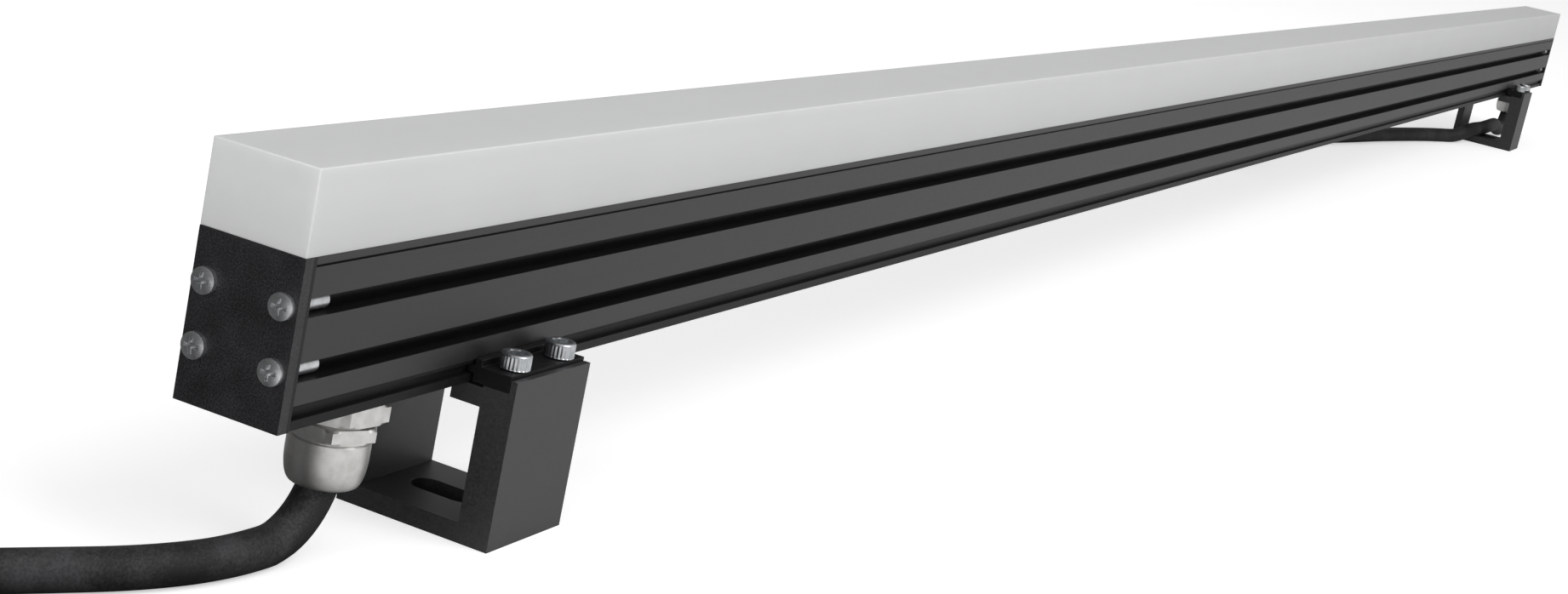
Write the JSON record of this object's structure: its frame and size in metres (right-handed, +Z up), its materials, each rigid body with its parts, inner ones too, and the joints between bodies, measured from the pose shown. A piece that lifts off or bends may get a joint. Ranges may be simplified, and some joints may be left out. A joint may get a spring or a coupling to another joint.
{
  "type": "outdoor wall washer light",
  "caption": "Slim linear outdoor wall washer light with a square milky cover, clamped in brackets that slide along its housing, with a sealed plug lead and a socket lead.",
  "frame": {"origin": "bottom centre of the light on its brackets, on the plane of the brackets' feet, midway between the end plates", "axes": "+X along the light from the input end to the output end, +Z up towards the milky cover, the clamp jaws on the side of -Y"},
  "size_m": [1.405, 0.0892, 0.0704],
  "materials": {
    "dark_anodised_aluminium": "fine matte anodised",
    "milky_cover": "milky satin",
    "black_seal": "matte",
    "black_end_plate": "fine matte powder coat",
    "stainless_steel": "bright machined",
    "white_board": "white solder mask",
    "light_source": "glossy",
    "white_terminal": "glossy",
    "red_wire": "glossy",
    "black_lead": "matte rubber",
    "bracket_aluminium": "fine matte anodised",
    "black_jaw": "fine matte anodised",
    "connector_plastic": "moulded matte",
    "connector_insert": "moulded matte",
    "tinned_contact": "plated",
    "nickel_plated_brass": "plated satin"
  },
  "bodies": {
    "light": {"housing": "dark_anodised_aluminium", "diffuser": "milky_cover", "cover_seals": "black_seal", "near_end_plate": "black_end_plate", "far_end_plate": "black_end_plate", "near_end_gasket": "black_seal", "far_end_gasket": "black_seal", "near_end_screws": "stainless_steel", "far_end_screws": "stainless_steel", "led_board": "white_board", "led_chips": "light_source", "board_screws": "stainless_steel", "near_terminal": "white_terminal", "far_terminal": "white_terminal", "near_wires": "red_wire", "far_wires": "red_wire", "near_gland_body": "nickel_plated_brass", "near_gland_washer": "black_seal", "near_gland_nut": "nickel_plated_brass", "near_gland_insert": "black_seal", "near_gland_cap": "nickel_plated_brass", "far_gland_body": "nickel_plated_brass", "far_gland_washer": "black_seal", "far_gland_nut": "nickel_plated_brass", "far_gland_insert": "black_seal", "far_gland_cap": "nickel_plated_brass", "near_lead_entry": "black_lead", "far_lead_entry": "black_lead", "near_lead": "black_lead", "near_coil": "black_lead", "near_tail": "black_lead", "plug_boot": "connector_plastic", "plug_body": "connector_plastic", "plug_contacts": "tinned_contact", "far_lead": "black_lead", "socket_boot": "connector_plastic", "socket_body": "connector_plastic", "socket_contacts": "connector_insert"},
    "near_bracket": {"near_bracket": "bracket_aluminium", "near_jaw": "black_jaw", "near_clamp_screws": "stainless_steel"},
    "far_bracket": {"far_bracket": "bracket_aluminium", "far_jaw": "black_jaw", "far_clamp_screws": "stainless_steel"},
    "coupling_ring": {"plug_ring": "connector_plastic"}
  },
  "joints": [
    {"name": "near_bracket_slide", "type": "slide", "parent": "light", "child": "near_bracket", "axis": [1, 0, 0], "range_m": [-0.01, 0.4]},
    {"name": "far_bracket_slide", "type": "slide", "parent": "light", "child": "far_bracket", "axis": [1, 0, 0], "range_m": [-0.002, 0.02]},
    {"name": "coupling_ring_turn", "type": "hinge", "parent": "light", "child": "coupling_ring", "pos_m": [-0.79625, 0.06489, 0.0085], "axis": [-1, -0.0045, 0], "continuous": true}
  ]
}
